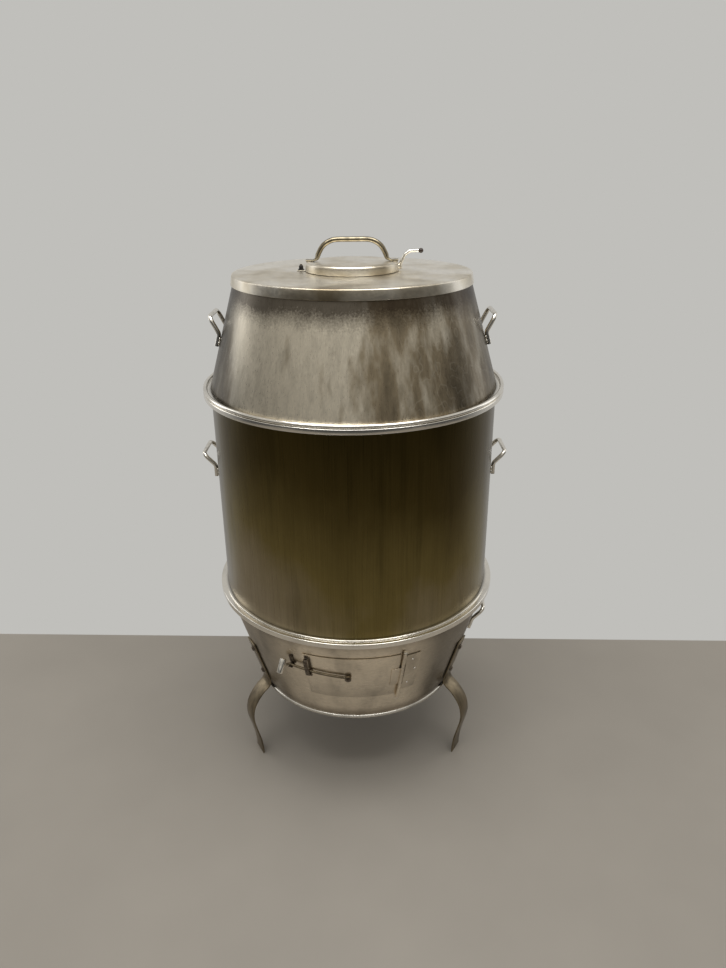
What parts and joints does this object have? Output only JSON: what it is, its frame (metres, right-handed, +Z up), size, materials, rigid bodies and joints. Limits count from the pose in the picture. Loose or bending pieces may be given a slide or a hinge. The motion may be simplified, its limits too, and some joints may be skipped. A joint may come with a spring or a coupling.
{
  "type": "charcoal barrel roasting oven",
  "caption": "Stainless charcoal roasting oven: fire base on strap legs with a latched door, lift-off barrel and conical hood with bail handles, and a lid with a swivelling vent cap.",
  "frame": {"origin": "on the floor under the oven's axis", "axes": "+Z up along the oven's axis, fire door facing -Y, +X to the viewer's right"},
  "size_m": [0.8384, 0.8, 1.4961],
  "materials": {
    "brushed_steel": "satin, warm heat tint, fine grain",
    "polished_steel": "polished",
    "tinted_steel": "polished, straw heat tint",
    "sooted_steel": "matt, sooted",
    "fastener_steel": "dull",
    "grate_iron": "matt black scale",
    "black_parts": "black oxide",
    "knob_plastic": "black heat-proof plastic"
  },
  "bodies": {
    "base": {"base_outer_shell": "brushed_steel", "base_inner_liner": "sooted_steel", "base_floor_plate": "sooted_steel", "base_bottom_rim": "polished_steel", "base_top_flange": "polished_steel", "door_jamb": "sooted_steel", "charcoal_grate": "grate_iron", "ash_pan": "sooted_steel", "leg_left": "brushed_steel", "leg_right": "brushed_steel", "leg_rear": "brushed_steel", "leg_left_bolt_upper": "fastener_steel", "leg_left_bolt_lower": "fastener_steel", "leg_right_bolt_upper": "fastener_steel", "leg_right_bolt_lower": "fastener_steel", "leg_rear_bolt_upper": "fastener_steel", "leg_rear_bolt_lower": "fastener_steel", "hinge_fixed_leaf": "brushed_steel", "door_hinge_pin": "brushed_steel", "hinge_rivet_1": "fastener_steel", "hinge_rivet_2": "fastener_steel", "hinge_rivet_3": "fastener_steel", "latch_catch": "fastener_steel", "base_handle_left": "polished_steel", "base_handle_right": "polished_steel"},
    "fire_door": {"fire_door": "brushed_steel", "door_hinge_leaf": "brushed_steel", "latch_guide": "fastener_steel", "latch_pivot_bolt": "fastener_steel"},
    "latch": {"latch_rod": "brushed_steel", "latch_knob": "polished_steel"},
    "barrel": {"barrel_foot_ring": "polished_steel", "barrel_outer_shell": "brushed_steel", "barrel_inner_liner": "sooted_steel", "barrel_top_flange": "polished_steel", "barrel_handle_left": "polished_steel", "barrel_handle_right": "polished_steel", "drip_tray": "sooted_steel", "hanging_rack": "brushed_steel", "rack_lug_1": "sooted_steel", "rack_lug_2": "sooted_steel", "rack_lug_3": "sooted_steel"},
    "hood": {"hood_bottom_flange": "polished_steel", "hood_outer_shell": "brushed_steel", "hood_inner_liner": "sooted_steel", "hood_top_collar": "brushed_steel", "hood_handle_left": "polished_steel", "hood_handle_right": "polished_steel"},
    "lid": {"lid": "brushed_steel", "cap_pivot_bolt": "fastener_steel", "cap_pivot_nut": "black_parts"},
    "vent_cap": {"vent_cap": "brushed_steel", "cap_handle": "tinted_steel", "cap_lever": "brushed_steel", "lever_knob": "knob_plastic"}
  },
  "joints": [
    {"name": "barrel_lift", "type": "slide", "parent": "base", "child": "barrel", "axis": [0, 0, 1], "range_m": [0, 0.12]},
    {"name": "hood_lift", "type": "slide", "parent": "barrel", "child": "hood", "axis": [0, 0, 1], "range_m": [0, 0.15]},
    {"name": "lid_lift", "type": "slide", "parent": "hood", "child": "lid", "axis": [0, 0, 1], "range_m": [0, 0.15]},
    {"name": "vent_cap_swivel", "type": "hinge", "parent": "lid", "child": "vent_cap", "pos_m": [-0.13, 0, 1.4143], "axis": [0, 0, 1], "range_deg": [-120, 120]},
    {"name": "fire_door_swing", "type": "hinge", "parent": "base", "child": "fire_door", "pos_m": [0.12157, -0.32864, 0.3985], "axis": [0.0967, -0.2613, 0.9604], "range_deg": [0, 115]},
    {"name": "latch_lift", "type": "hinge", "parent": "fire_door", "child": "latch", "pos_m": [-0.0206, -0.35722, 0.41235], "axis": [0.0553, 0.9588, 0.2786], "range_deg": [0, 10]}
  ]
}
